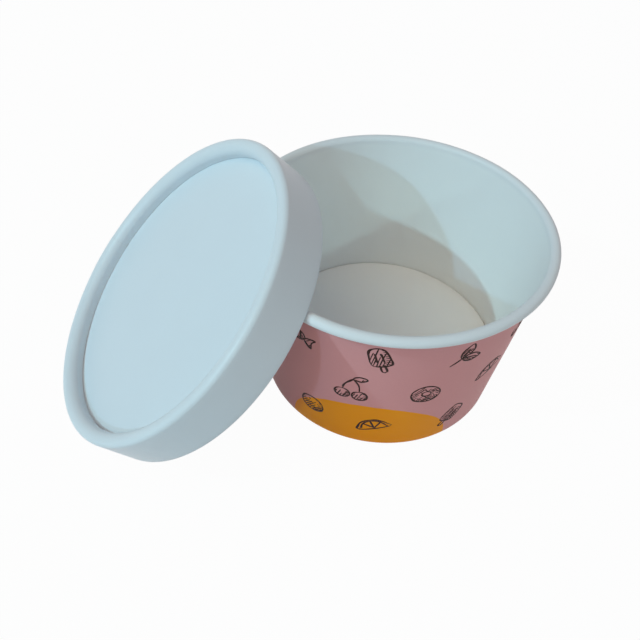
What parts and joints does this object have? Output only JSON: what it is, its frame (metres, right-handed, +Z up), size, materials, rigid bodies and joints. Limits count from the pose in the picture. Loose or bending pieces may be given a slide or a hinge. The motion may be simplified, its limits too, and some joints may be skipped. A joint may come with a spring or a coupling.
{
  "type": "paper dessert cup",
  "caption": "Tapered paperboard dessert cup with a rolled rim, a recessed foot and printed sides, and its shallow recessed lid leaning open against the rim.",
  "frame": {"origin": "on the table under the middle of the bounding box of the cup and its leaning lid", "axes": "+Z up, +X from the leaning lid towards the cup, the cup's own axis is vertical and crosses the X axis"},
  "size_m": [0.1511, 0.0978, 0.0773],
  "materials": {
    "printed_board": "pink and amber print on coated board, satin",
    "base_board": "white coated board, satin",
    "lid_board": "white coated board, satin",
    "panel_board": "white coated board, smooth satin"
  },
  "bodies": {
    "root": {"cup_sidewall": "printed_board", "cup_base": "base_board", "lid_band": "lid_board", "lid_panel": "panel_board"}
  },
  "joints": []
}
